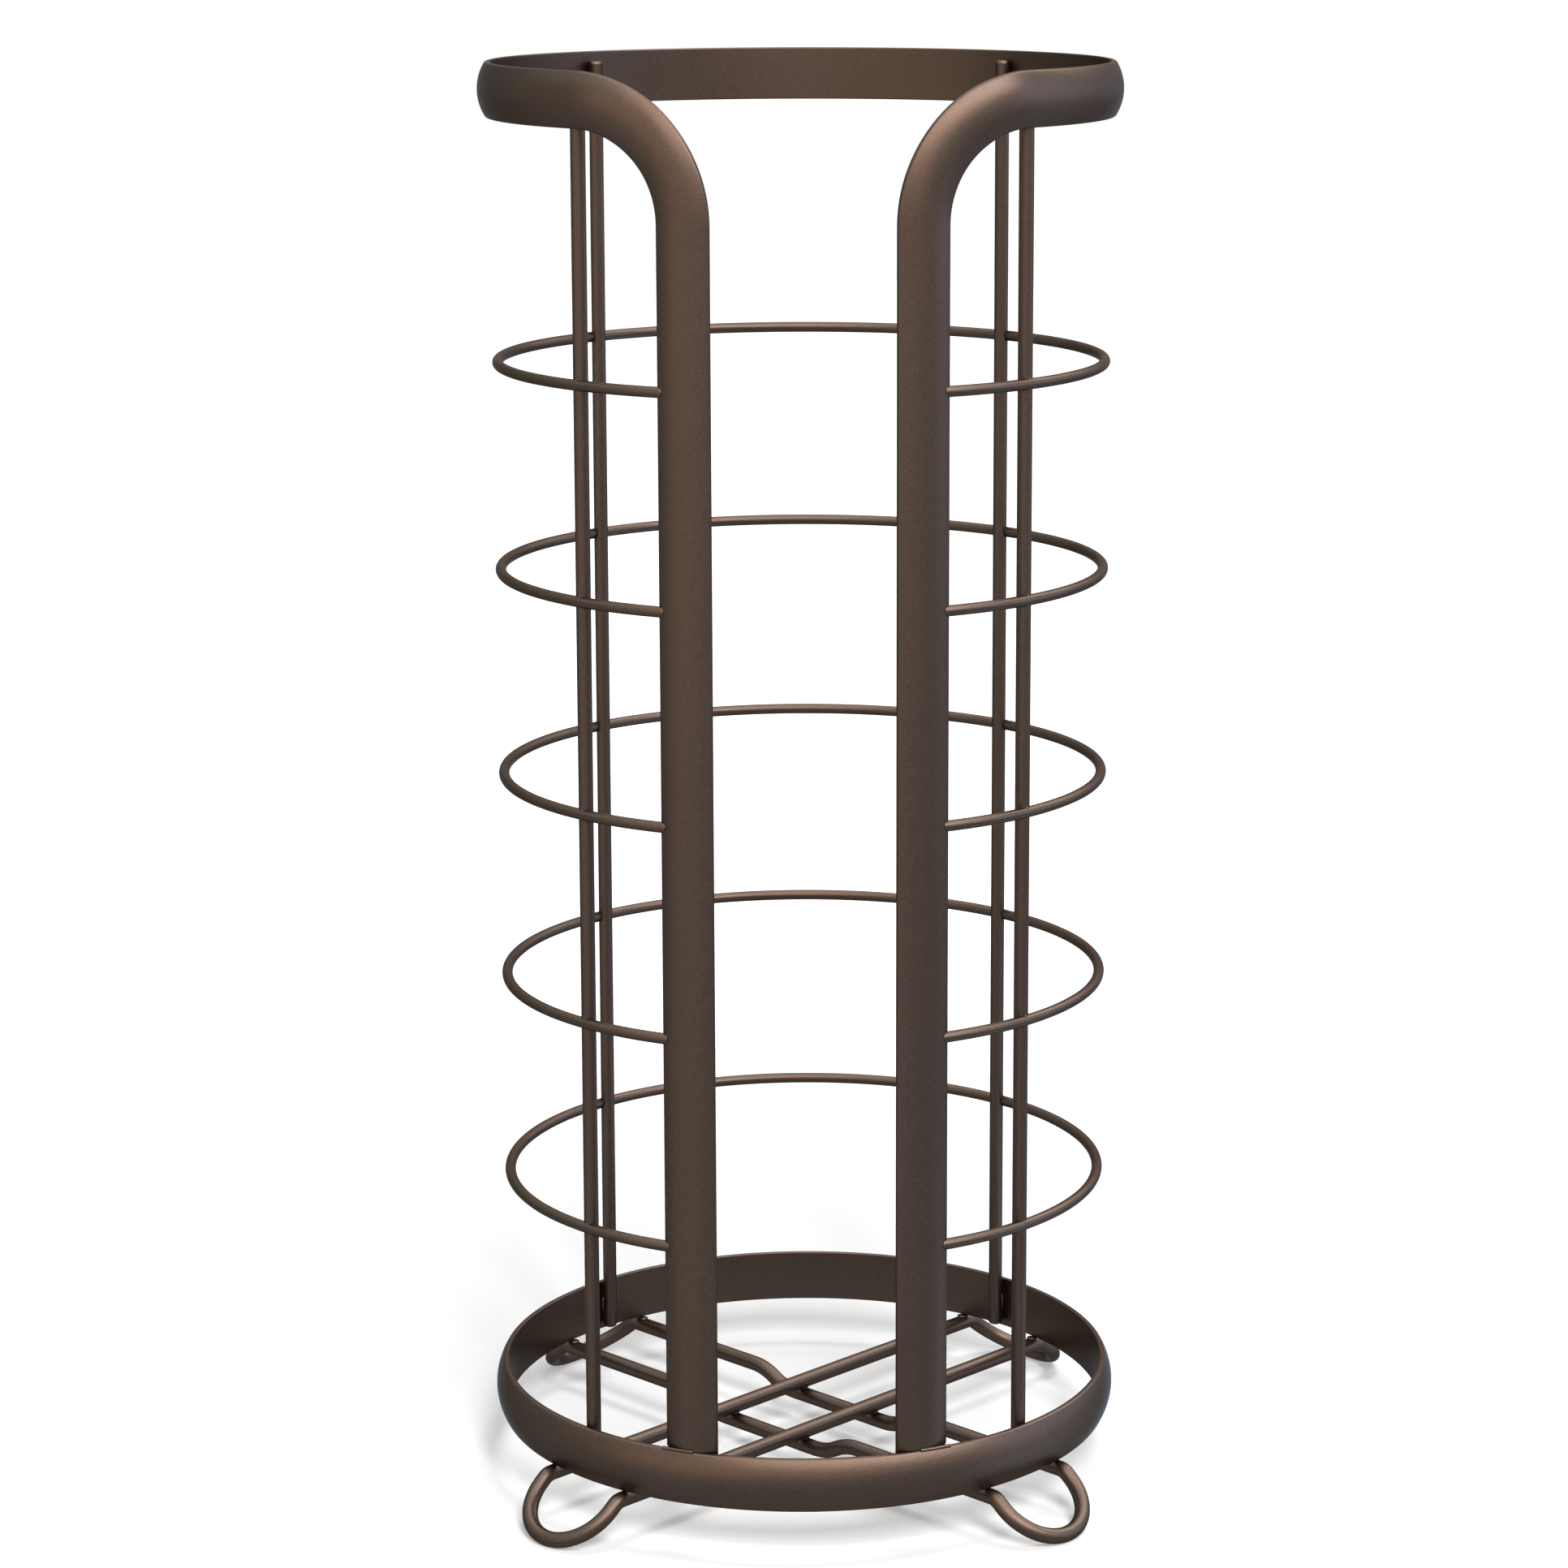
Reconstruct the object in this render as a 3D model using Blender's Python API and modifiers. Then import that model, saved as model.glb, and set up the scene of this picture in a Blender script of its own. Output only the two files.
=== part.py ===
# Freestanding toilet paper holder: a cage of steel wire and half-oval strip, open at the front.
# Metres, +Z up, front at -Y. The origin is on the floor, under the middle of the cage.
# Azimuths run from the front, anticlockwise seen from above.

import bpy
import bmesh
from math import asin, cos, pi, radians, sin, tan

# Half-oval strip, flat inside and crowned outside; the base ring is rolled a little larger than the band
strip_width = 0.0135
strip_thickness = 0.0032
strip_edge = 0.0012
strip_inner_radius = 0.0763
ring_step_out = 0.0004

# Heights above the floor
band_top_height = 0.3597
ring_bottom_height = 0.0136

# Uprights, in one piece with the top band
slot_width = 0.0430
upright_inset = 0.0018
corner_radius = 0.0285
upright_end_lift = 0.0015

# Wire hoops
hoop_count = 5
hoop_wire_diameter = 0.0027
hoop_weld_depth = 0.00185
ring_to_hoop = 0.0508
hoop_to_band = 0.0604

# Vertical rods
rod_diameter = 0.0036
rod_azimuth = radians(45)
rod_top_drop = 0.0024
rod_end_lift = 0.0010

# Foot wires, one along each diagonal
foot_wire_diameter = 0.0036
foot_run_spacing = 0.0256
foot_knee_setback = 0.0012
foot_knee_radius = 0.0040
foot_lean = radians(40.3)
foot_flat_depth = 0.0003
joggle_length = 0.0150

# Clearance between welded pieces, overrun of the cutters, and merge distance
weld_gap = 0.0003
cut_overrun = 0.0050
merge_distance = 0.00001

# Facet counts
strip_turn_steps = 80
crown_steps = 8
corner_steps = 8
hoop_steps = 50
rod_sides = 12
knee_steps = 4
foot_end_steps = 12
joggle_steps = 6

# Strip and ring levels
half_width = strip_width / 2
crown_rise = strip_thickness - strip_edge
crown_radius = (half_width ** 2 + crown_rise ** 2) / (2 * crown_rise)
crown_turn = asin(half_width / crown_radius)
ring_inner_radius = strip_inner_radius + ring_step_out
ring_outer_radius = ring_inner_radius + strip_thickness
band_centre_height = band_top_height - half_width
ring_top_height = ring_bottom_height + strip_width

# Uprights
upright_inner_radius = strip_inner_radius - upright_inset
half_width_angle = half_width / strip_inner_radius
upright_azimuth = asin(slot_width / 2 / upright_inner_radius) + half_width_angle
upright_edge_azimuth = upright_azimuth + half_width_angle
upright_end_height = ring_bottom_height + upright_end_lift

# Rods inside the strip, hoops let into the outside of the rods
rod_wire_radius = rod_diameter / 2
rod_circle_radius = strip_inner_radius - weld_gap - rod_wire_radius
hoop_wire_radius = hoop_wire_diameter / 2
hoop_radius = rod_circle_radius + rod_wire_radius + hoop_wire_radius - hoop_weld_depth
hoop_end_azimuth = upright_edge_azimuth + weld_gap / hoop_radius
lowest_hoop_height = ring_top_height + ring_to_hoop
highest_hoop_height = band_top_height - strip_width - hoop_to_band
hoop_pitch = (highest_hoop_height - lowest_hoop_height) / (hoop_count - 1)
rod_clear_angle = rod_diameter / rod_circle_radius
inset_end_azimuth = rod_azimuth - rod_clear_angle

# Foot wires
foot_wire_radius = foot_wire_diameter / 2
foot_run_height = ring_bottom_height - weld_gap - foot_wire_radius
foot_turn_radius = foot_run_spacing / 2
knee_circle_radius = ring_outer_radius - foot_knee_setback
knee_start = knee_circle_radius - foot_knee_radius * tan(foot_lean / 2)
knee_length = foot_knee_radius * foot_lean
knee_drop = foot_knee_radius * (1 - cos(foot_lean))
foot_drop = foot_run_height - foot_wire_radius + foot_flat_depth
slope_length = (foot_drop - knee_drop) / sin(foot_lean)
foot_reach = knee_start + knee_length + slope_length
turn_start = foot_reach - foot_turn_radius
crossing_reach = foot_turn_radius + foot_wire_diameter
joggle_depth = foot_wire_diameter + weld_gap

# Satin bronze coating
bronze_colour = (0.093, 0.060, 0.044, 1.0)
bronze_metallic = 0.75
bronze_roughness = 0.42
smooth_angle = radians(40)


def clear_scene():
    for old in list(bpy.data.objects):
        bpy.data.objects.remove(old, do_unlink=True)


def make_collection(name):
    collection = bpy.data.collections.new(name)
    bpy.context.scene.collection.children.link(collection)
    return collection


def give_bronze(piece):
    material = bpy.data.materials.new(piece.name + "_bronze")
    material.use_nodes = True
    shader = material.node_tree.nodes["Principled BSDF"]
    shader.inputs["Base Color"].default_value = bronze_colour
    shader.inputs["Metallic"].default_value = bronze_metallic
    shader.inputs["Roughness"].default_value = bronze_roughness
    piece.data.materials.clear()
    piece.data.materials.append(material)


def smooth(mesh):
    mesh.shade_smooth()
    mesh.set_sharp_from_angle(angle=smooth_angle)


def spline_points(curve, points, cyclic):
    spline = curve.splines.new("POLY")
    spline.points.add(len(points) - 1)
    for target, point in zip(spline.points, points):
        target.co = (*point, 1.0)
    spline.use_cyclic_u = cyclic


def mesh_from_curve(curve, name, collection):
    # The curve's caps are loose, so they are welded to its tube.
    carrier = bpy.data.objects.new(name + "_path", curve)
    bpy.context.scene.collection.objects.link(carrier)
    graph = bpy.context.evaluated_depsgraph_get()
    mesh = bpy.data.meshes.new_from_object(carrier.evaluated_get(graph))
    mesh.name = name
    bpy.data.objects.remove(carrier, do_unlink=True)
    work = bmesh.new()
    work.from_mesh(mesh)
    bmesh.ops.remove_doubles(work, verts=work.verts, dist=merge_distance)
    bmesh.ops.recalc_face_normals(work, faces=work.faces)
    work.to_mesh(mesh)
    work.free()
    smooth(mesh)
    piece = bpy.data.objects.new(name, mesh)
    collection.objects.link(piece)
    return piece


def wire_piece(name, paths, radius, collection, cyclic=False):
    curve = bpy.data.curves.new(name, "CURVE")
    curve.dimensions = "3D"
    curve.twist_mode = "Z_UP"
    curve.bevel_depth = radius
    curve.bevel_resolution = 2
    curve.use_fill_caps = True
    for points in paths:
        spline_points(curve, points, cyclic)
    return mesh_from_curve(curve, name, collection)


def mark_as_guide(piece):
    piece.hide_render = True
    piece.display_type = "WIRE"
    return piece


def cut(piece, cutter):
    modifier = piece.modifiers.new("Cut by " + cutter.name, "BOOLEAN")
    modifier.operation = "DIFFERENCE"
    modifier.solver = "EXACT"
    modifier.object = cutter


def on_circle(azimuth, radius, height):
    return (radius * sin(azimuth), -radius * cos(azimuth), height)


def half_oval():
    # Across the strip and out from its flat face: an upper edge, the crown, a lower edge.
    outline = [(half_width, 0.0)]
    for step in range(crown_steps + 1):
        turn = crown_turn * (1 - 2 * step / crown_steps)
        bulge = strip_thickness - crown_radius * (1 - cos(turn))
        outline.append((crown_radius * sin(turn), bulge))
    outline.append((-half_width, 0.0))
    return outline


def inner_radius_at(azimuth):
    # The uprights sit inside the hoop ends, and the strip eases out to the band round the corners.
    off_front = min(azimuth, 2 * pi - azimuth)
    share = (off_front - upright_edge_azimuth) / (inset_end_azimuth - upright_edge_azimuth)
    share = max(0.0, min(1.0, share))
    return upright_inner_radius + upright_inset * share * share * (3 - 2 * share)


def band_plan():
    # The strip laid flat: X is the distance round the cage, Y the height.
    turn_length = 2 * pi * strip_inner_radius
    near_x = upright_azimuth * strip_inner_radius
    far_x = turn_length - near_x
    level = band_centre_height - corner_radius
    points = [(near_x, upright_end_height, 0.0)]
    for step in range(corner_steps + 1):
        turn = pi / 2 * step / corner_steps
        rise = corner_radius * sin(turn)
        points.append((near_x + corner_radius * (1 - cos(turn)), level + rise, 0.0))
    straight = far_x - near_x - 2 * corner_radius
    straight_steps = round(strip_turn_steps * straight / turn_length)
    for step in range(1, straight_steps):
        points.append((near_x + corner_radius + straight * step / straight_steps, band_centre_height, 0.0))
    for step in range(corner_steps + 1):
        turn = pi / 2 * step / corner_steps
        rise = corner_radius * cos(turn)
        points.append((far_x - corner_radius * (1 - sin(turn)), level + rise, 0.0))
    points.append((far_x, upright_end_height, 0.0))
    return points


def make_strip_section(collection):
    curve = bpy.data.curves.new("strip_section", "CURVE")
    curve.dimensions = "2D"
    spline_points(curve, [(across, out, 0.0) for across, out in half_oval()], True)
    section = bpy.data.objects.new("strip_section", curve)
    collection.objects.link(section)
    return mark_as_guide(section)


def make_top_band(collection, cutters):
    section = make_strip_section(cutters)
    curve = bpy.data.curves.new("top_band_with_uprights", "CURVE")
    curve.dimensions = "3D"
    curve.twist_mode = "Z_UP"
    curve.bevel_mode = "OBJECT"
    curve.bevel_object = section
    curve.use_fill_caps = True
    spline_points(curve, band_plan(), False)
    band = mesh_from_curve(curve, "top_band_with_uprights", collection)
    # The flat strip is rolled round the cage.
    for vertex in band.data.vertices:
        distance, height, out = vertex.co
        azimuth = distance / strip_inner_radius
        vertex.co = on_circle(azimuth, inner_radius_at(azimuth) + out, height)
    band.data.update()
    # The lower ends are relieved where they pass behind the base ring.
    relief = [
        (ring_inner_radius - weld_gap, ring_top_height + weld_gap),
        (ring_outer_radius + cut_overrun, ring_top_height + weld_gap),
        (ring_outer_radius + cut_overrun, ring_bottom_height - cut_overrun),
        (ring_inner_radius - weld_gap, ring_bottom_height - cut_overrun),
    ]
    cut(band, mark_as_guide(turned_piece("ring_relief", relief, cutters)))
    give_bronze(band)


def turned_piece(name, outline, collection):
    # The outline runs down its outer side, and the screw turns it round the Z axis.
    mesh = bpy.data.meshes.new(name)
    count = len(outline)
    vertices = [(radius, 0.0, height) for radius, height in outline]
    mesh.from_pydata(vertices, [(i, (i + 1) % count) for i in range(count)], [])
    piece = bpy.data.objects.new(name, mesh)
    collection.objects.link(piece)
    screw = piece.modifiers.new("Turn", "SCREW")
    screw.axis = "Z"
    screw.angle = 2 * pi
    screw.steps = strip_turn_steps
    screw.render_steps = strip_turn_steps
    screw.use_merge_vertices = True
    screw.merge_threshold = merge_distance
    return piece


def make_base_ring(collection):
    middle = ring_bottom_height + half_width
    outline = [(ring_inner_radius + out, middle + across) for across, out in half_oval()]
    give_bronze(turned_piece("base_ring", outline, collection))


def hoop_path(height):
    sweep = 2 * pi - 2 * hoop_end_azimuth
    azimuths = [hoop_end_azimuth + sweep * step / hoop_steps for step in range(hoop_steps + 1)]
    return [on_circle(azimuth, hoop_radius, height) for azimuth in azimuths]


def hoop_heights():
    return [highest_hoop_height - hoop_pitch * number for number in range(hoop_count)]


def make_hoops(collection):
    for number, height in enumerate(hoop_heights(), start=1):
        hoop = wire_piece(f"hoop_{number}", [hoop_path(height)], hoop_wire_radius, collection)
        give_bronze(hoop)


def make_rods(collection, cutters):
    paths = [hoop_path(height) for height in hoop_heights()]
    notches = mark_as_guide(wire_piece("hoop_notches", paths, hoop_wire_radius + weld_gap, cutters))
    top = band_top_height - rod_top_drop
    bottom = ring_bottom_height + rod_end_lift
    places = {
        "rod_front_right": rod_azimuth,
        "rod_back_right": pi - rod_azimuth,
        "rod_back_left": pi + rod_azimuth,
        "rod_front_left": -rod_azimuth,
    }
    for name, azimuth in places.items():
        mesh = bpy.data.meshes.new(name)
        work = bmesh.new()
        bmesh.ops.create_cone(
            work, cap_ends=True, segments=rod_sides,
            radius1=rod_wire_radius, radius2=rod_wire_radius, depth=top - bottom)
        work.to_mesh(mesh)
        work.free()
        smooth(mesh)
        rod = bpy.data.objects.new(name, mesh)
        rod.location = on_circle(azimuth, rod_circle_radius, (top + bottom) / 2)
        rod.rotation_euler = (0.0, 0.0, azimuth)
        collection.objects.link(rod)
        cut(rod, notches)
        give_bronze(rod)


def foot_profile(along, joggled):
    # A flat loop of wire bent in side view: level under the ring, then down to the floor.
    distance = abs(along)
    side = 1.0 if along >= 0 else -1.0
    if distance <= knee_start:
        share = (distance - crossing_reach) / joggle_length
        share = max(0.0, min(1.0, share))
        sunk = joggle_depth * (1 - share * share * (3 - 2 * share)) if joggled else 0.0
        return side * distance, foot_run_height - sunk
    turn = min(foot_lean, (distance - knee_start) / foot_knee_radius)
    reach = knee_start + foot_knee_radius * sin(turn)
    height = foot_run_height - foot_knee_radius * (1 - cos(turn))
    rest = max(0.0, distance - knee_start - knee_length)
    return side * (reach + rest * cos(foot_lean)), height - rest * sin(foot_lean)


def foot_stations(joggled):
    # Distances along one run of the loop, from the middle to where its round end starts.
    stations = [knee_start + knee_length * step / knee_steps for step in range(knee_steps + 1)]
    if joggled:
        steps = range(joggle_steps + 1)
        stations += [crossing_reach + joggle_length * step / joggle_steps for step in steps]
    kept = sorted(distance for distance in stations if distance < turn_start - merge_distance)
    return [-distance for distance in reversed(kept)] + kept


def foot_loop(azimuth, joggled):
    flat = [(along, foot_turn_radius) for along in foot_stations(joggled)]
    for step in range(foot_end_steps + 1):
        turn = pi * step / foot_end_steps
        flat.append((turn_start + foot_turn_radius * sin(turn), foot_turn_radius * cos(turn)))
    flat += [(-along, -across) for along, across in flat]
    path = []
    for along, across in flat:
        reach, height = foot_profile(along, joggled)
        x = reach * sin(azimuth) + across * cos(azimuth)
        y = -reach * cos(azimuth) + across * sin(azimuth)
        path.append((x, y, height))
    return path


def make_foot_wires(collection, cutters):
    reach = foot_reach + cut_overrun
    bpy.ops.mesh.primitive_cube_add(size=1.0, location=(0.0, 0.0, -reach / 2))
    floor_cut = mark_as_guide(bpy.context.object)
    floor_cut.name = "floor_cut"
    floor_cut.dimensions = (2 * reach, 2 * reach, reach)
    for parent in list(floor_cut.users_collection):
        parent.objects.unlink(floor_cut)
    cutters.objects.link(floor_cut)
    bpy.context.view_layer.update()
    for name, azimuth, joggled in (
            ("foot_wire_upper", -rod_azimuth, False),
            ("foot_wire_lower", rod_azimuth, True)):
        foot = wire_piece(name, [foot_loop(azimuth, joggled)], foot_wire_radius, collection, cyclic=True)
        cut(foot, floor_cut)
        give_bronze(foot)


def build():
    clear_scene()
    holder = make_collection("toilet_paper_holder")
    cutters = make_collection("cutters")
    make_top_band(holder, cutters)
    make_base_ring(holder)
    make_hoops(holder)
    make_rods(holder, cutters)
    make_foot_wires(holder, cutters)


build()
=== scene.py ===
# Freestanding toilet paper holder in satin bronze: wire and half-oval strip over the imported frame.
# Metres, open front at -Y. Azimuths run from the front, anticlockwise seen from above.

from math import asin, cos, pi, radians, sin, tan

import bmesh
import bpy
from mathutils import Matrix, Vector


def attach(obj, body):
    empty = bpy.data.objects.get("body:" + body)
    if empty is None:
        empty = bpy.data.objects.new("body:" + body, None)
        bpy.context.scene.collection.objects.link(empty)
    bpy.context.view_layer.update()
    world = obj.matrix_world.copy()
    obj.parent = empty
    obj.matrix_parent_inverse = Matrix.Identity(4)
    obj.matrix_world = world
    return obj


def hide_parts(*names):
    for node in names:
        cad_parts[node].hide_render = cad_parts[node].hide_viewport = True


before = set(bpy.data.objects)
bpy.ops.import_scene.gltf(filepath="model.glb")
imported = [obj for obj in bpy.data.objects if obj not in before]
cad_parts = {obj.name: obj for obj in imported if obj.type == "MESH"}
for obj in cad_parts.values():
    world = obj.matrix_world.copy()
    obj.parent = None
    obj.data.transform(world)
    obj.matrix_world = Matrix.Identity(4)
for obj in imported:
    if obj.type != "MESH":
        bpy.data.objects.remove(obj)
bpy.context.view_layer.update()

mergeGap = 0.000005


# Small helpers for working by hand

def deselectAll():
    if bpy.context.mode != "OBJECT":
        bpy.ops.object.mode_set(mode="OBJECT")
    bpy.ops.object.select_all(action="DESELECT")


def holdOnly(piece):
    deselectAll()
    piece.select_set(True)
    bpy.context.view_layer.objects.active = piece


def openMesh(piece, kind="VERT"):
    holdOnly(piece)
    bpy.ops.object.mode_set(mode="EDIT")
    bpy.ops.mesh.select_mode(type=kind)


def closeMesh():
    bpy.ops.object.mode_set(mode="OBJECT")


def pickPoints(piece, test):
    # Selects the points that pass, and the edges and faces between them.
    bpy.ops.mesh.select_mode(type="VERT")
    work = bmesh.from_edit_mesh(piece.data)
    for face in work.faces:
        face.select_set(False)
    for edge in work.edges:
        edge.select_set(False)
    for point in work.verts:
        point.select_set(bool(test(point.co)))
    work.select_flush_mode()
    bmesh.update_edit_mesh(piece.data)


def pickEdges(piece, test):
    bpy.ops.mesh.select_mode(type="EDGE")
    work = bmesh.from_edit_mesh(piece.data)
    for face in work.faces:
        face.select_set(False)
    for point in work.verts:
        point.select_set(False)
    for edge in work.edges:
        edge.select_set(bool(test(edge.verts[0].co, edge.verts[1].co)))
    work.select_flush_mode()
    bmesh.update_edit_mesh(piece.data)


def fixPlace(piece):
    holdOnly(piece)
    bpy.ops.object.transform_apply(location=True, rotation=True, scale=True)


def applyModifier(piece, modifier):
    holdOnly(piece)
    bpy.ops.object.modifier_apply(modifier=modifier.name)


def extrudeBy(offset):
    bpy.ops.mesh.extrude_region_move(TRANSFORM_OT_translate={"value": tuple(offset)})


def spinBy(angle, steps, center, axis):
    # The spin operator turns clockwise about its axis, so the angle changes sign.
    bpy.ops.mesh.spin(steps=steps, angle=-angle, center=tuple(center), axis=tuple(axis))


def mirrorHalf(piece, onX=False, onY=False):
    mirror = piece.modifiers.new("Mirror", "MIRROR")
    mirror.use_axis = (onX, onY, False)
    mirror.use_mirror_merge = True
    mirror.merge_threshold = mergeGap
    applyModifier(piece, mirror)


def closeEnds(piece, radius, segments):
    # Caps the open ends and rounds their rims.
    openMesh(piece)
    bpy.ops.mesh.select_all(action="SELECT")
    bpy.ops.mesh.fill_holes(sides=0)
    if segments:
        bpy.ops.mesh.select_mode(type="FACE")
        bpy.ops.mesh.select_all(action="DESELECT")
        bpy.ops.mesh.select_face_by_sides(number=4, type="GREATER")
        bpy.ops.mesh.region_to_loop()
        bpy.ops.mesh.bevel(offset=radius, segments=segments, affect="EDGES", clamp_overlap=True)
    closeMesh()


def cleanUp(piece, smoothAngle=40.0):
    openMesh(piece)
    bpy.ops.mesh.select_all(action="SELECT")
    bpy.ops.mesh.remove_doubles(threshold=mergeGap)
    bpy.ops.mesh.normals_make_consistent(inside=False)
    closeMesh()
    holdOnly(piece)
    bpy.ops.object.shade_smooth_by_angle(angle=radians(smoothAngle))
    # Broad faces stay flat beside their rounded edges.
    evenNormals = piece.modifiers.new("EvenNormals", "WEIGHTED_NORMAL")
    evenNormals.keep_sharp = True
    applyModifier(piece, evenNormals)


def nameIt(piece, name):
    piece.name = name
    piece.data.name = name
    return piece


def onCircle(azimuth, radius, height):
    return Vector((radius * sin(azimuth), -radius * cos(azimuth), height))


def finishPiece(piece, material, *nodes):
    piece.data.materials.clear()
    piece.data.materials.append(material)
    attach(piece, "root")
    if nodes:
        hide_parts(*nodes)


# Camera, at the photograph's view

camera = {
    "place": (-0.00740, -1.03176, 0.40384),
    "pitch": 0.183996,
    "yaw": 0.018173,
    "roll": -0.000964,
    "lens": 95.447,
    "sensor": 36.0,
    "shiftX": -0.04038,
    "shiftY": -0.08494,
    "nearest": 0.05,
    "farthest": 50.0,
}


def makeCamera():
    data = bpy.data.cameras.new("holderCamera")
    data.sensor_fit = "HORIZONTAL"
    data.sensor_width = camera["sensor"]
    data.lens = camera["lens"]
    data.shift_x = camera["shiftX"]
    data.shift_y = camera["shiftY"]
    data.clip_start = camera["nearest"]
    data.clip_end = camera["farthest"]
    holderCamera = bpy.data.objects.new("holderCamera", data)
    bpy.context.scene.collection.objects.link(holderCamera)
    pitch, yaw, roll = camera["pitch"], camera["yaw"], camera["roll"]
    forward = Vector((sin(yaw) * cos(pitch), cos(yaw) * cos(pitch), -sin(pitch)))
    level = Vector((cos(yaw), -sin(yaw), 0.0))
    upright = level.cross(forward)
    right = level * cos(roll) + upright * sin(roll)
    up = upright * cos(roll) - level * sin(roll)
    turn = Matrix((right, up, -forward)).transposed()
    holderCamera.matrix_world = Matrix.Translation(camera["place"]) @ turn.to_4x4()
    bpy.context.scene.camera = holderCamera


makeCamera()
print("camera set")


# Satin bronze coat

bronze = {
    "colour": (0.089, 0.058, 0.043, 1.0),
    "warmColour": (0.097, 0.062, 0.045, 1.0),
    "metallic": 1.0,
    "edgeTint": (0.42, 0.42, 0.42, 1.0),
    "roughness": 0.38,
    "roughnessSpread": 0.06,
    "grainScale": 2600.0,
    "grainDetail": 2.0,
    "grainHeight": 0.000012,
    "grainStrength": 0.5,
    "grainContrast": 0.13,
    "grainFrom": 0.3,
    "grainTo": 0.7,
    "cloudScale": 60.0,
    "cloudDetail": 3.0,
}


def addNode(tree, kind, x, y, **values):
    node = tree.nodes.new(kind)
    node.location = (x, y)
    for key, value in values.items():
        setattr(node, key, value)
    return node


def makeBronze():
    material = bpy.data.materials.new("satinBronze")
    material.use_nodes = True
    tree = material.node_tree
    shader = tree.nodes["Principled BSDF"]
    link = tree.links.new
    place = addNode(tree, "ShaderNodeTexCoord", -1200, 0)
    grain = addNode(tree, "ShaderNodeTexNoise", -900, -200)
    grain.inputs["Scale"].default_value = bronze["grainScale"]
    grain.inputs["Detail"].default_value = bronze["grainDetail"]
    cloud = addNode(tree, "ShaderNodeTexNoise", -900, 200)
    cloud.inputs["Scale"].default_value = bronze["cloudScale"]
    cloud.inputs["Detail"].default_value = bronze["cloudDetail"]
    link(place.outputs["Object"], grain.inputs["Vector"])
    link(place.outputs["Object"], cloud.inputs["Vector"])
    # Slow drift between two bronzes, with fine flakes lighter and darker
    tone = addNode(tree, "ShaderNodeMix", -600, 250, data_type="RGBA")
    tone.inputs["A"].default_value = bronze["colour"]
    tone.inputs["B"].default_value = bronze["warmColour"]
    link(cloud.outputs["Fac"], tone.inputs["Factor"])
    flakes = addNode(tree, "ShaderNodeMapRange", -600, -50)
    flakes.inputs["From Min"].default_value = bronze["grainFrom"]
    flakes.inputs["From Max"].default_value = bronze["grainTo"]
    flakes.inputs["To Min"].default_value = 1.0 - bronze["grainContrast"]
    flakes.inputs["To Max"].default_value = 1.0 + bronze["grainContrast"]
    link(grain.outputs["Fac"], flakes.inputs["Value"])
    tinted = addNode(tree, "ShaderNodeVectorMath", -400, 200, operation="SCALE")
    link(tone.outputs["Result"], tinted.inputs[0])
    link(flakes.outputs["Result"], tinted.inputs["Scale"])
    link(tinted.outputs["Vector"], shader.inputs["Base Color"])
    satin = addNode(tree, "ShaderNodeMapRange", -600, -350)
    satin.inputs["To Min"].default_value = bronze["roughness"] - bronze["roughnessSpread"]
    satin.inputs["To Max"].default_value = bronze["roughness"] + bronze["roughnessSpread"]
    link(grain.outputs["Fac"], satin.inputs["Value"])
    link(satin.outputs["Result"], shader.inputs["Roughness"])
    bump = addNode(tree, "ShaderNodeBump", -300, -300)
    bump.inputs["Strength"].default_value = bronze["grainStrength"]
    bump.inputs["Distance"].default_value = bronze["grainHeight"]
    link(grain.outputs["Fac"], bump.inputs["Height"])
    link(bump.outputs["Normal"], shader.inputs["Normal"])
    shader.inputs["Metallic"].default_value = bronze["metallic"]
    shader.inputs["Specular IOR Level"].default_value = 0.0
    shader.inputs["Specular Tint"].default_value = bronze["edgeTint"]
    return material


bronzeCoat = makeBronze()
print("bronze coat mixed")


# Half-oval strip: the section that the ring and the band share

strip = {
    "width": 0.0135,
    "thickness": 0.0032,
    "edge": 0.0012,
    "crownSegments": 24,
    "cornerRound": 0.0003,
    "cornerSegments": 3,
    "shoulderRound": 0.0004,
    "shoulderSegments": 3,
}


def addStripSection():
    # Lies in the XY plane, flat side on the X axis: two short edges and a circular crown towards +Y.
    deselectAll()
    half = strip["width"] / 2
    rise = strip["thickness"] - strip["edge"]
    crownRadius = (half ** 2 + rise ** 2) / (2 * rise)
    crownAngle = 2 * asin(half / crownRadius)
    bpy.ops.mesh.primitive_circle_add(
        vertices=round(strip["crownSegments"] * 2 * pi / crownAngle),
        radius=crownRadius,
        location=(0, strip["thickness"] - crownRadius, 0))
    section = bpy.context.object
    fixPlace(section)
    openMesh(section)
    bpy.ops.mesh.select_all(action="SELECT")
    bpy.ops.mesh.bisect(
        plane_co=(0, strip["edge"], 0),
        plane_no=(0, 1, 0),
        clear_inner=True,
        threshold=mergeGap)
    pickPoints(section, lambda co: co.y < strip["edge"] + mergeGap)
    extrudeBy((0, -strip["edge"], 0))
    bpy.ops.mesh.edge_face_add()
    pickPoints(section, lambda co: co.y < mergeGap)
    bpy.ops.mesh.bevel(offset=strip["cornerRound"], segments=strip["cornerSegments"], affect="VERTICES")
    pickPoints(section, lambda co: abs(co.y - strip["edge"]) < mergeGap)
    bpy.ops.mesh.bevel(offset=strip["shoulderRound"], segments=strip["shoulderSegments"], affect="VERTICES")
    closeMesh()
    return section


# Base ring

baseRing = {
    "innerRadius": 0.0767,
    "bottom": 0.0136,
    "turnSteps": 200,
}
ringTop = baseRing["bottom"] + strip["width"]


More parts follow.
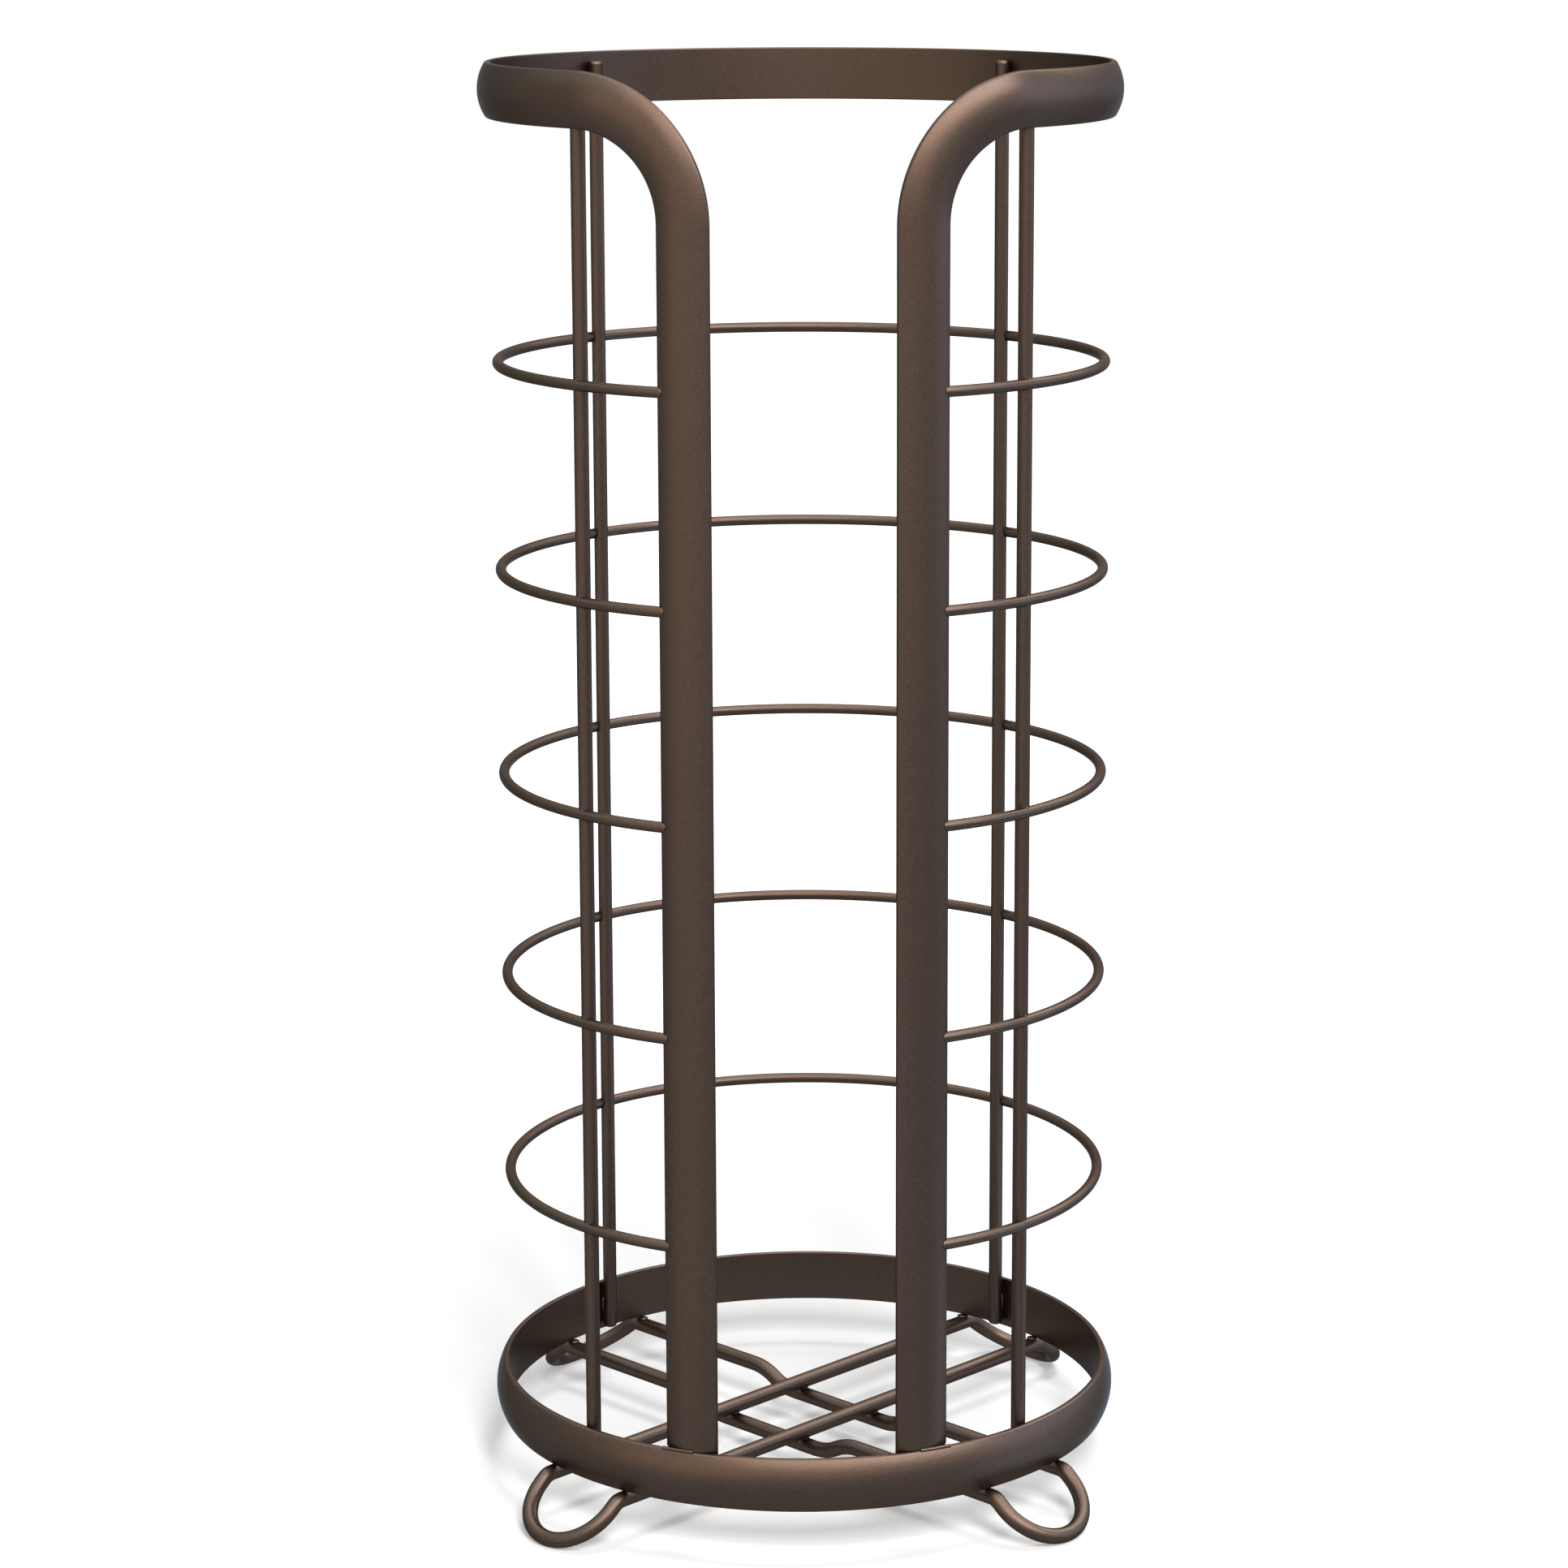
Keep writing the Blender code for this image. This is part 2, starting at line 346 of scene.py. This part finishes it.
def makeBaseRing():
    ring = nameIt(addStripSection(), "baseRing")
    # The section stands up, with its crown outwards along +X.
    ring.rotation_euler = (pi / 2, -pi / 2, pi)
    ring.location = (baseRing["innerRadius"], 0.0, baseRing["bottom"] + strip["width"] / 2)
    fixPlace(ring)
    openMesh(ring)
    bpy.ops.mesh.select_all(action="SELECT")
    spinBy(2 * pi, baseRing["turnSteps"], (0, 0, 0), (0, 0, 1))
    closeMesh()
    cleanUp(ring)
    finishPiece(ring, bronzeCoat, "base_ring")


makeBaseRing()
print("base ring turned")


# Top band and uprights, one strip bent edgewise and rolled round the cage

topBand = {
    "innerRadius": 0.0763,
    "top": 0.3597,
    "slotWidth": 0.0430,
    "inset": 0.0018,
    "insetEndAzimuth": 0.73688,
    "cornerRadius": 0.0285,
    "footLift": 0.0015,
    "footThinTo": 0.0019,
    "footEase": 0.00006,
    "footClear": 0.00002,
    "cornerSteps": 28,
    "backCuts": 71,
    "endRound": 0.0002,
    "endSegments": 2,
}
halfWidthAngle = strip["width"] / 2 / topBand["innerRadius"]
uprightRadius = topBand["innerRadius"] - topBand["inset"]
uprightAzimuth = asin(topBand["slotWidth"] / 2 / uprightRadius) + halfWidthAngle
uprightEdgeAzimuth = uprightAzimuth + halfWidthAngle


def insetAt(azimuth):
    # The uprights sit inside the hoop ends, and the strip eases out to the band round the corners.
    span = topBand["insetEndAzimuth"] - uprightEdgeAzimuth
    share = max(0.0, min(1.0, (azimuth - uprightEdgeAzimuth) / span))
    return topBand["inset"] * (1 - share * share * (3 - 2 * share))


def makeTopBand():
    # Laid flat first: X runs round the cage from the back, +Y is outwards.
    band = nameIt(addStripSection(), "topBand")
    radius = topBand["innerRadius"]
    uprightX = (pi - uprightAzimuth) * radius
    foot = baseRing["bottom"] + topBand["footLift"]
    thinTop = ringTop + topBand["footClear"]
    fullFrom = thinTop + topBand["footEase"]
    level = topBand["top"] - strip["width"] / 2 - topBand["cornerRadius"]
    band.location = (uprightX, 0.0, foot)
    fixPlace(band)
    openMesh(band)
    bpy.ops.mesh.select_all(action="SELECT")
    heights = (foot, thinTop, fullFrom, level)
    for low, high in zip(heights, heights[1:]):
        extrudeBy((0, 0, high - low))
    middle = (uprightX - topBand["cornerRadius"], 0.0, level)
    spinBy(pi / 2, topBand["cornerSteps"], middle, (0, -1, 0))
    extrudeBy((-middle[0], 0, 0))
    longRun = middle[0] - strip["width"]
    pickEdges(band, lambda a, b: abs(a.x - b.x) > longRun)
    bpy.ops.mesh.subdivide(number_cuts=topBand["backCuts"])
    # The feet are pressed thin where they pass behind the base ring.
    pickPoints(band, lambda co: co.z < thinTop + mergeGap)
    thin = topBand["footThinTo"] / strip["thickness"]
    bpy.ops.transform.resize(value=(1, thin, 1), center_override=(0, 0, 0))
    closeMesh()
    mirrorHalf(band, onX=True)
    closeEnds(band, topBand["endRound"], topBand["endSegments"])
    for point in band.data.vertices:
        point.co.y -= insetAt(pi - abs(point.co.x) / radius)
    # A bend rolls the flat strip round the cage.
    roll = band.modifiers.new("Roll", "SIMPLE_DEFORM")
    roll.deform_method = "BEND"
    roll.deform_axis = "Z"
    roll.angle = -max(band.dimensions) / radius
    applyModifier(band, roll)
    band.location = (0.0, radius, 0.0)
    fixPlace(band)
    cleanUp(band)
    finishPiece(band, bronzeCoat, "top_band_with_uprights")


makeTopBand()
print("top band and uprights bent and rolled")


# Wire hoops, open at the front

hoop = {
    "wire": 0.0027,
    "radius": 0.0755,
    "heights": (0.2858, 0.233825, 0.18185, 0.129875, 0.0779),
    "overUpright": 0.0017,
    "sides": 20,
    "turnSteps": 150,
    "endRound": 0.0005,
    "endSegments": 4,
}


def makeHoops():
    start = uprightEdgeAzimuth - hoop["overUpright"] / hoop["radius"]
    top = hoop["heights"][0]
    deselectAll()
    bpy.ops.mesh.primitive_circle_add(vertices=hoop["sides"], radius=hoop["wire"] / 2)
    first = nameIt(bpy.context.object, "hoop1")
    first.rotation_euler = (0.0, pi / 2, start)
    first.location = onCircle(start, hoop["radius"], top)
    fixPlace(first)
    openMesh(first)
    bpy.ops.mesh.select_all(action="SELECT")
    spinBy(2 * pi - 2 * start, hoop["turnSteps"], (0, 0, 0), (0, 0, 1))
    closeMesh()
    closeEnds(first, hoop["endRound"], hoop["endSegments"])
    cleanUp(first)
    hoops = [first]
    for number, height in enumerate(hoop["heights"][1:], start=2):
        holdOnly(first)
        bpy.ops.object.duplicate()
        lower = nameIt(bpy.context.object, f"hoop{number}")
        lower.location = (0.0, 0.0, height - top)
        fixPlace(lower)
        hoops.append(lower)
    for number, piece in enumerate(hoops, start=1):
        finishPiece(piece, bronzeCoat, f"hoop_{number}")


makeHoops()
print("hoops spun")


# Upright rods, inside the strip

rod = {
    "wire": 0.0036,
    "azimuth": radians(45),
    "circleRadius": 0.0744,
    "bottom": 0.0146,
    "top": 0.3573,
    "sides": 24,
    "endRound": 0.0009,
    "endSegments": 5,
}
rodPlaces = {
    "rodFrontLeft": (-rod["azimuth"], "rod_front_left"),
    "rodFrontRight": (rod["azimuth"], "rod_front_right"),
    "rodBackLeft": (rod["azimuth"] + pi, "rod_back_left"),
    "rodBackRight": (pi - rod["azimuth"], "rod_back_right"),
}


def makeRods():
    deselectAll()
    bpy.ops.mesh.primitive_circle_add(vertices=rod["sides"], radius=rod["wire"] / 2)
    first = bpy.context.object
    first.location = (0.0, 0.0, rod["bottom"])
    fixPlace(first)
    openMesh(first)
    bpy.ops.mesh.select_all(action="SELECT")
    extrudeBy((0, 0, rod["top"] - rod["bottom"]))
    closeMesh()
    closeEnds(first, rod["endRound"], rod["endSegments"])
    cleanUp(first)
    for name, (azimuth, node) in rodPlaces.items():
        holdOnly(first)
        bpy.ops.object.duplicate()
        piece = nameIt(bpy.context.object, name)
        piece.location = onCircle(azimuth, rod["circleRadius"], 0.0)
        piece.rotation_euler = (0.0, 0.0, azimuth)
        fixPlace(piece)
        finishPiece(piece, bronzeCoat, node)
    bpy.data.objects.remove(first, do_unlink=True)


makeRods()
print("rods cut")


# Foot wires, one closed loop along each diagonal

foot = {
    "wire": 0.0039,
    "runSpacing": 0.0256,
    "runHeight": 0.0115,
    "kneeStart": 0.07723,
    "kneeRadius": 0.0040,
    "lean": radians(37.92),
    "turnStart": 0.08124,
    "crossingReach": 0.0164,
    "joggleLength": 0.0150,
    "joggleDepth": 0.0039,
    "sides": 20,
    "kneeSteps": 7,
    "endSteps": 16,
    "joggleSteps": 6,
}


def makeFootWire(name, node, azimuth, joggled):
    # A quarter is drawn along +X from the middle, as the wire is bent, then mirrored twice.
    deselectAll()
    bpy.ops.mesh.primitive_circle_add(vertices=foot["sides"], radius=foot["wire"] / 2)
    piece = nameIt(bpy.context.object, name)
    piece.rotation_euler = (0.0, pi / 2, 0.0)
    across = foot["runSpacing"] / 2
    height = foot["runHeight"] - (foot["joggleDepth"] if joggled else 0.0)
    piece.location = (0.0, across, height)
    fixPlace(piece)
    openMesh(piece)
    bpy.ops.mesh.select_all(action="SELECT")
    along = 0.0
    if joggled:
        # Under the other wire, and back up in an S of two equal bends
        extrudeBy((foot["crossingReach"], 0, 0))
        half = foot["joggleLength"] / 2
        rise = foot["joggleDepth"] / 2
        swing = 2 * Vector((half, rise)).angle_signed(Vector((1, 0)))
        bendRadius = half / sin(swing)
        along = foot["crossingReach"]
        spinBy(swing, foot["joggleSteps"], (along, 0, height + bendRadius), (0, -1, 0))
        along += 2 * half
        height += 2 * rise
        spinBy(swing, foot["joggleSteps"], (along, 0, height - bendRadius), (0, 1, 0))
    extrudeBy((foot["kneeStart"] - along, 0, 0))
    lean = foot["lean"]
    kneeMiddle = (foot["kneeStart"], 0, height - foot["kneeRadius"])
    spinBy(lean, foot["kneeSteps"], kneeMiddle, (0, 1, 0))
    slope = foot["turnStart"] - foot["kneeStart"] - foot["kneeRadius"] * lean
    down = Vector((cos(lean), 0, -sin(lean)))
    extrudeBy(down * slope)
    kneeEnd = Vector(kneeMiddle) + foot["kneeRadius"] * Vector((sin(lean), 0, cos(lean)))
    turnMiddle = kneeEnd + down * slope
    spinBy(pi / 2, foot["endSteps"], turnMiddle, (-sin(lean), 0, -cos(lean)))
    closeMesh()
    mirrorHalf(piece, onY=True)
    mirrorHalf(piece, onX=True)
    piece.rotation_euler = (0.0, 0.0, azimuth - pi / 2)
    fixPlace(piece)
    cleanUp(piece)
    finishPiece(piece, bronzeCoat, node)


makeFootWire("footWireUpper", "foot_wire_upper", -rod["azimuth"], False)
makeFootWire("footWireLower", "foot_wire_lower", rod["azimuth"], True)
print("foot wires bent")


# Welds: small uneven beads where wire, rod and strip meet

weld = {
    "ballRounds": 2,
    "unevenness": 0.16,
    "smoothAngle": 180.0,
    "hoopSeedStep": 10,
    "rodSeed": 100,
    "footSeed": 200,
    "onRod": (0.0008, 0.0007, 0.0019),
    "onRodRadius": 0.0758,
    "onRodStep": 0.0002,
    "onUpright": (0.0010, 0.0006, 0.0012),
    "onUprightRadius": 0.0744,
    "onUprightStep": 0.0002,
    "rodToBand": (0.0014, 0.0006, 0.0030),
    "rodToBandRadius": 0.0761,
    "rodToBandDrop": 0.0070,
    "rodToRing": (0.0015, 0.0009, 0.0032),
    "rodToRingRadius": 0.0763,
    "footToRing": (0.0014, 0.0012, 0.0005),
    "footToRingRadius": 0.0759,
    "footToRingHeight": 0.01345,
    "footCrossing": (0.0012, 0.0012, 0.0008),
    "footCrossingHeight": 0.00955,
}
footBead = {
    "radius": 0.0778,
    "wire": 0.0010,
    "lift": 0.00005,
    "pastMiddle": 0.0014,
    "sides": 10,
    "turnSteps": 26,
    "unevenness": 0.00007,
    "endRound": 0.00025,
    "endSegments": 2,
    "seed": 300,
}


def addBead(place, azimuth, size, seed):
    # A ball pushed about at random, pressed to size and smoothed. X runs along the joint, Y through it.
    deselectAll()
    bpy.ops.mesh.primitive_ico_sphere_add(subdivisions=weld["ballRounds"], radius=1.0)
    bead = bpy.context.object
    openMesh(bead)
    bpy.ops.mesh.select_all(action="SELECT")
    bpy.ops.transform.vertex_random(offset=weld["unevenness"], seed=seed)
    bpy.ops.transform.resize(value=size, center_override=(0, 0, 0))
    closeMesh()
    soften(bead)
    bead.location = place
    bead.rotation_euler = (0.0, 0.0, azimuth)
    fixPlace(bead)
    return bead


def soften(piece):
    skin = piece.modifiers.new("Soften", "SUBSURF")
    skin.levels = 1
    skin.render_levels = 1
    applyModifier(piece, skin)


def joinBeads(name, beads):
    deselectAll()
    for bead in beads:
        bead.select_set(True)
    bpy.context.view_layer.objects.active = beads[0]
    bpy.ops.object.join()
    joined = nameIt(bpy.context.object, name)
    cleanUp(joined, weld["smoothAngle"])
    finishPiece(joined, bronzeCoat)


def makeHoopWelds():
    for number, height in enumerate(hoop["heights"], start=1):
        seed = number * weld["hoopSeedStep"]
        beads = []
        for azimuth, _ in rodPlaces.values():
            place = onCircle(azimuth, weld["onRodRadius"], height + weld["onRodStep"])
            beads.append(addBead(place, azimuth, weld["onRod"], seed + len(beads)))
        for side in (-1, 1):
            azimuth = side * (uprightEdgeAzimuth + weld["onUprightStep"] / weld["onUprightRadius"])
            place = onCircle(azimuth, weld["onUprightRadius"], height)
            beads.append(addBead(place, azimuth, weld["onUpright"], seed + len(beads)))
        joinBeads(f"hoopWelds{number}", beads)


def makeRodWelds():
    bandHeight = rod["top"] - weld["rodToBandDrop"]
    ringMiddle = baseRing["bottom"] + strip["width"] / 2
    seed = weld["rodSeed"]
    beads = []
    for azimuth, _ in rodPlaces.values():
        place = onCircle(azimuth, weld["rodToBandRadius"], bandHeight)
        beads.append(addBead(place, azimuth, weld["rodToBand"], seed + len(beads)))
        place = onCircle(azimuth, weld["rodToRingRadius"], ringMiddle)
        beads.append(addBead(place, azimuth, weld["rodToRing"], seed + len(beads)))
    joinBeads("rodWelds", beads)


def makeFootWelds():
    seed = weld["footSeed"]
    beads = []
    across = foot["runSpacing"] / 2
    offAxis = asin(across / weld["footToRingRadius"])
    for corner in range(4):
        diagonal = rod["azimuth"] + corner * pi / 2
        for azimuth in (diagonal - offAxis, diagonal + offAxis):
            place = onCircle(azimuth, weld["footToRingRadius"], weld["footToRingHeight"])
            beads.append(addBead(place, azimuth, weld["footToRing"], seed + len(beads)))
        place = onCircle(corner * pi / 2, across / sin(rod["azimuth"]), weld["footCrossingHeight"])
        beads.append(addBead(place, diagonal, weld["footCrossing"], seed + len(beads)))
    joinBeads("footWelds", beads)


def makeUprightWelds():
    # A bead on the ring's top edge, from each upright's outer edge to a little past its middle
    finish = uprightAzimuth - footBead["pastMiddle"] / footBead["radius"]
    beads = []
    for side in (-1, 1):
        deselectAll()
        bpy.ops.mesh.primitive_circle_add(vertices=footBead["sides"], radius=footBead["wire"] / 2)
        bead = bpy.context.object
        bead.rotation_euler = (0.0, pi / 2, side * finish)
        bead.location = onCircle(side * finish, footBead["radius"], ringTop + footBead["lift"])
        fixPlace(bead)
        openMesh(bead)
        bpy.ops.mesh.select_all(action="SELECT")
        spinBy(side * (uprightEdgeAzimuth - finish), footBead["turnSteps"], (0, 0, 0), (0, 0, 1))
        closeMesh()
        closeEnds(bead, footBead["endRound"], footBead["endSegments"])
        openMesh(bead)
        bpy.ops.mesh.select_all(action="SELECT")
        bpy.ops.transform.vertex_random(offset=footBead["unevenness"], seed=footBead["seed"] + len(beads))
        closeMesh()
        soften(bead)
        beads.append(bead)
    joinBeads("uprightWelds", beads)


makeHoopWelds()
makeRodWelds()
makeFootWelds()
makeUprightWelds()
print("welds laid")


# Studio: pale floor, white surroundings, soft lamps, and toned cards that only the metal sees

studio = {
    "floorHalf": 3.2,
    "floorColour": (0.80, 0.80, 0.80, 1.0),
    "floorRoughness": 0.9,
    "white": (1.0, 1.0, 1.0, 1.0),
    "black": (0.0, 0.0, 0.0, 1.0),
    "nearGlow": 0.36,
    "farGlow": 0.90,
    "glowFrom": 0.10,
    "glowTo": 0.60,
    "fieldStrength": 0.10,
    "middle": (0.0, 0.0, 0.18),
    "lampDistance": 4.0,
    "cardDistance": 6.0,
}
# A window is the part of the surroundings that a lamp or card fills: azimuths from and to, lowest, highest.
lamps = {
    "floorFrontLamp": {
        "window": (2, 22, 28, 50), "radiance": 29.4, "colour": (1.0, 1.0, 1.0), "onMetal": False},
    "floorTopLamp": {
        "window": (60, 120, 70, 90), "radiance": 15.0, "colour": (1.0, 1.0, 1.0), "onMetal": False},
    "frontLamp": {
        "window": (-25, 25, 25, 50), "radiance": 5.25, "colour": (1.0, 0.92, 0.88), "onMetal": True},
    "frontRightLamp": {
        "window": (25, 70, 25, 50), "radiance": 7.2, "colour": (0.85, 0.92, 1.0), "onMetal": True},
}
cards = {
    "frontCard": {"window": (-25, 25, -4, 25), "tone": (1.20, 1.20, 1.25)},
    "frontRightCard": {"window": (25, 70, -4, 25), "tone": (0.80, 0.88, 0.84)},
    "rightCard": {"window": (70, 115, -4, 25), "tone": (1.50, 1.85, 2.70)},
    "backRightCard": {"window": (115, 150, -4, 25), "tone": (1.28, 1.84, 2.60)},
    "backCard": {"window": (150, 210, -4, 25), "tone": (0.50, 0.50, 0.50)},
    "backLeftCard": {"window": (210, 245, -4, 25), "tone": (0.65, 0.88, 1.05)},
    "leftCard": {"window": (245, 290, -4, 25), "tone": (0.62, 0.67, 0.64)},
    "frontLeftCard": {"window": (290, 335, -4, 25), "tone": (1.75, 1.52, 1.35)},
    "upperRightCard": {"window": (70, 115, 25, 50), "tone": (0.7, 1.0, 1.4)},
    "upperBackRightCard": {"window": (115, 150, 25, 50), "tone": (5.5, 6.3, 6.3)},
    "upperBackCard": {"window": (150, 210, 25, 50), "tone": (2.2, 2.2, 2.2)},
    "upperBackLeftCard": {"window": (210, 245, 25, 50), "tone": (0.8, 1.2, 1.0)},
    "upperLeftCard": {"window": (245, 290, 25, 50), "tone": (1.2, 1.5, 1.6)},
    "upperFrontLeftCard": {"window": (290, 335, 25, 37), "tone": (0.6, 0.9, 0.85)},
    "highFrontLeftCard": {"window": (290, 335, 37, 50), "tone": (2.0, 2.3, 2.3)},
    "highFrontCard": {"window": (-45, 45, 50, 65), "tone": (4.0, 4.1, 4.1)},
    "highRightCard": {"window": (45, 135, 50, 65), "tone": (5.1, 5.4, 5.7)},
    "highBackCard": {"window": (135, 225, 50, 65), "tone": (3.7, 4.2, 5.0)},
    "highLeftCard": {"window": (225, 315, 50, 65), "tone": (1.6, 2.0, 2.2)},
    "topCard": {"place": (0.0, 0.0, 6.0), "size": (5.4, 5.4), "tone": (3.1, 3.4, 3.9)},
    "floorLeftCard": {
        "place": (-1.635, 1.55, 0.0003), "size": (3.13, 3.30), "tone": (0.50, 0.60, 0.66)},
    "floorRightCard": {
        "place": (1.635, 1.55, 0.0003), "size": (3.13, 3.30), "tone": (0.60, 0.80, 1.05)},
    "floorFrontLeftCard": {
        "place": (-1.635, -1.65, 0.0003), "size": (3.13, 3.10), "tone": (0.73, 0.81, 0.86)},
    "floorFrontRightCard": {
        "place": (1.635, -1.65, 0.0003), "size": (3.13, 3.10), "tone": (0.48, 0.58, 0.69)},
    "floorMiddleCard": {"place": (0.0, 0.0, 0.0003), "size": (0.14, 6.4), "tone": (0.54, 0.64, 0.74)},
    "floorNearLeftCard": {
        "place": (-0.17, 0.14, 0.0005), "size": (0.18, 0.36), "tone": (0.60, 0.80, 0.95)},
    "floorNearRightCard": {
        "place": (0.17, 0.10, 0.0005), "size": (0.18, 0.40), "tone": (0.85, 1.20, 1.60)},
}


def fillWindow(window, distance):
    # Where a flat panel stands, and how large it is, to fill a window seen from the holder's middle
    start, end, lowest, highest = (radians(angle) for angle in window)
    azimuth = (start + end) / 2
    rise = (lowest + highest) / 2
    outwards = Vector((sin(azimuth) * cos(rise), -cos(azimuth) * cos(rise), sin(rise)))
    place = Vector(studio["middle"]) + distance * outwards
    size = (2 * distance * cos(rise) * tan((end - start) / 2), 2 * distance * tan((highest - lowest) / 2))
    return place, outwards, size


def addLamp(name, values):
    place, outwards, size = fillWindow(values["window"], studio["lampDistance"])
    data = bpy.data.lights.new(name, "AREA")
    data.shape = "RECTANGLE"
    data.size, data.size_y = size
    data.energy = values["radiance"] * pi * size[0] * size[1]
    data.color = values["colour"]
    lamp = bpy.data.objects.new(name, data)
    bpy.context.scene.collection.objects.link(lamp)
    lamp.location = place
    lamp.rotation_euler = outwards.to_track_quat("Z", "Y").to_euler()
    # A lamp is there either for the metal's highlights or for the light and shadows on the floor.
    lamp.visible_camera = False
    lamp.visible_glossy = values["onMetal"]
    lamp.visible_diffuse = not values["onMetal"]


def addCard(name, values):
    deselectAll()
    bpy.ops.mesh.primitive_plane_add(size=1.0)
    card = nameIt(bpy.context.object, name)
    if "window" in values:
        place, outwards, size = fillWindow(values["window"], studio["cardDistance"])
        card.rotation_euler = outwards.to_track_quat("Z", "Y").to_euler()
    else:
        place, size = values["place"], values["size"]
    card.scale = (size[0], size[1], 1.0)
    card.location = place
    fixPlace(card)
    material = bpy.data.materials.new(name + "Tone")
    material.use_nodes = True
    material.cycles.emission_sampling = "NONE"
    shader = material.node_tree.nodes["Principled BSDF"]
    shader.inputs["Base Color"].default_value = studio["black"]
    shader.inputs["Specular IOR Level"].default_value = 0.0
    shader.inputs["Emission Color"].default_value = (*values["tone"], 1.0)
    shader.inputs["Emission Strength"].default_value = 1.0
    card.data.materials.append(material)
    card.visible_camera = False
    card.visible_diffuse = False
    card.visible_transmission = False
    card.visible_shadow = False


def addLightPath(tree, x, y):
    # 1 for rays that should see the pale surroundings: camera, glossy and transmission
    path = addNode(tree, "ShaderNodeLightPath", x, y)
    first = addNode(tree, "ShaderNodeMath", x + 200, y, operation="MAXIMUM")
    both = addNode(tree, "ShaderNodeMath", x + 400, y, operation="MAXIMUM")
    tree.links.new(path.outputs["Is Camera Ray"], first.inputs[0])
    tree.links.new(path.outputs["Is Glossy Ray"], first.inputs[1])
    tree.links.new(first.outputs[0], both.inputs[0])
    tree.links.new(path.outputs["Is Transmission Ray"], both.inputs[1])
    return both.outputs[0]


def makeWorld():
    world = bpy.data.worlds.new("paleStudio")
    world.use_nodes = True
    bpy.context.scene.world = world
    tree = world.node_tree
    back = tree.nodes["Background"]
    back.inputs["Color"].default_value = studio["white"]
    seen = addLightPath(tree, -800, 0)
    level = addNode(tree, "ShaderNodeMapRange", -200, 0)
    level.inputs["To Min"].default_value = studio["fieldStrength"]
    level.inputs["To Max"].default_value = 1.0
    tree.links.new(seen, level.inputs["Value"])
    tree.links.new(level.outputs["Result"], back.inputs["Strength"])


def makeFloor():
    deselectAll()
    bpy.ops.mesh.primitive_plane_add(size=2 * studio["floorHalf"])
    floor = nameIt(bpy.context.object, "studioFloor")
    material = bpy.data.materials.new("paleFloor")
    material.use_nodes = True
    tree = material.node_tree
    link = tree.links.new
    shader = tree.nodes["Principled BSDF"]
    shader.inputs["Base Color"].default_value = studio["floorColour"]
    shader.inputs["Roughness"].default_value = studio["floorRoughness"]
    shader.inputs["Specular IOR Level"].default_value = 0.0
    # The floor's own paleness grows with the distance from the holder, so that it meets the white world.
    place = addNode(tree, "ShaderNodeTexCoord", -1300, -100)
    reach = addNode(tree, "ShaderNodeVectorMath", -1100, -100, operation="LENGTH")
    link(place.outputs["Object"], reach.inputs[0])
    fade = addNode(tree, "ShaderNodeMapRange", -900, -100, interpolation_type="SMOOTHSTEP")
    fade.inputs["From Min"].default_value = studio["glowFrom"]
    fade.inputs["From Max"].default_value = studio["glowTo"]
    fade.inputs["To Min"].default_value = studio["nearGlow"]
    fade.inputs["To Max"].default_value = studio["farGlow"]
    link(reach.outputs["Value"], fade.inputs["Value"])
    seen = addLightPath(tree, -900, -400)
    glow = addNode(tree, "ShaderNodeMath", -300, -300, operation="MULTIPLY")
    link(seen, glow.inputs[0])
    link(fade.outputs["Result"], glow.inputs[1])
    shader.inputs["Emission Color"].default_value = studio["white"]
    link(glow.outputs[0], shader.inputs["Emission Strength"])
    floor.data.materials.append(material)


makeWorld()
makeFloor()
for name, values in lamps.items():
    addLamp(name, values)
for name, values in cards.items():
    addCard(name, values)
bpy.context.scene.view_settings.view_transform = "Standard"
print("studio lit")
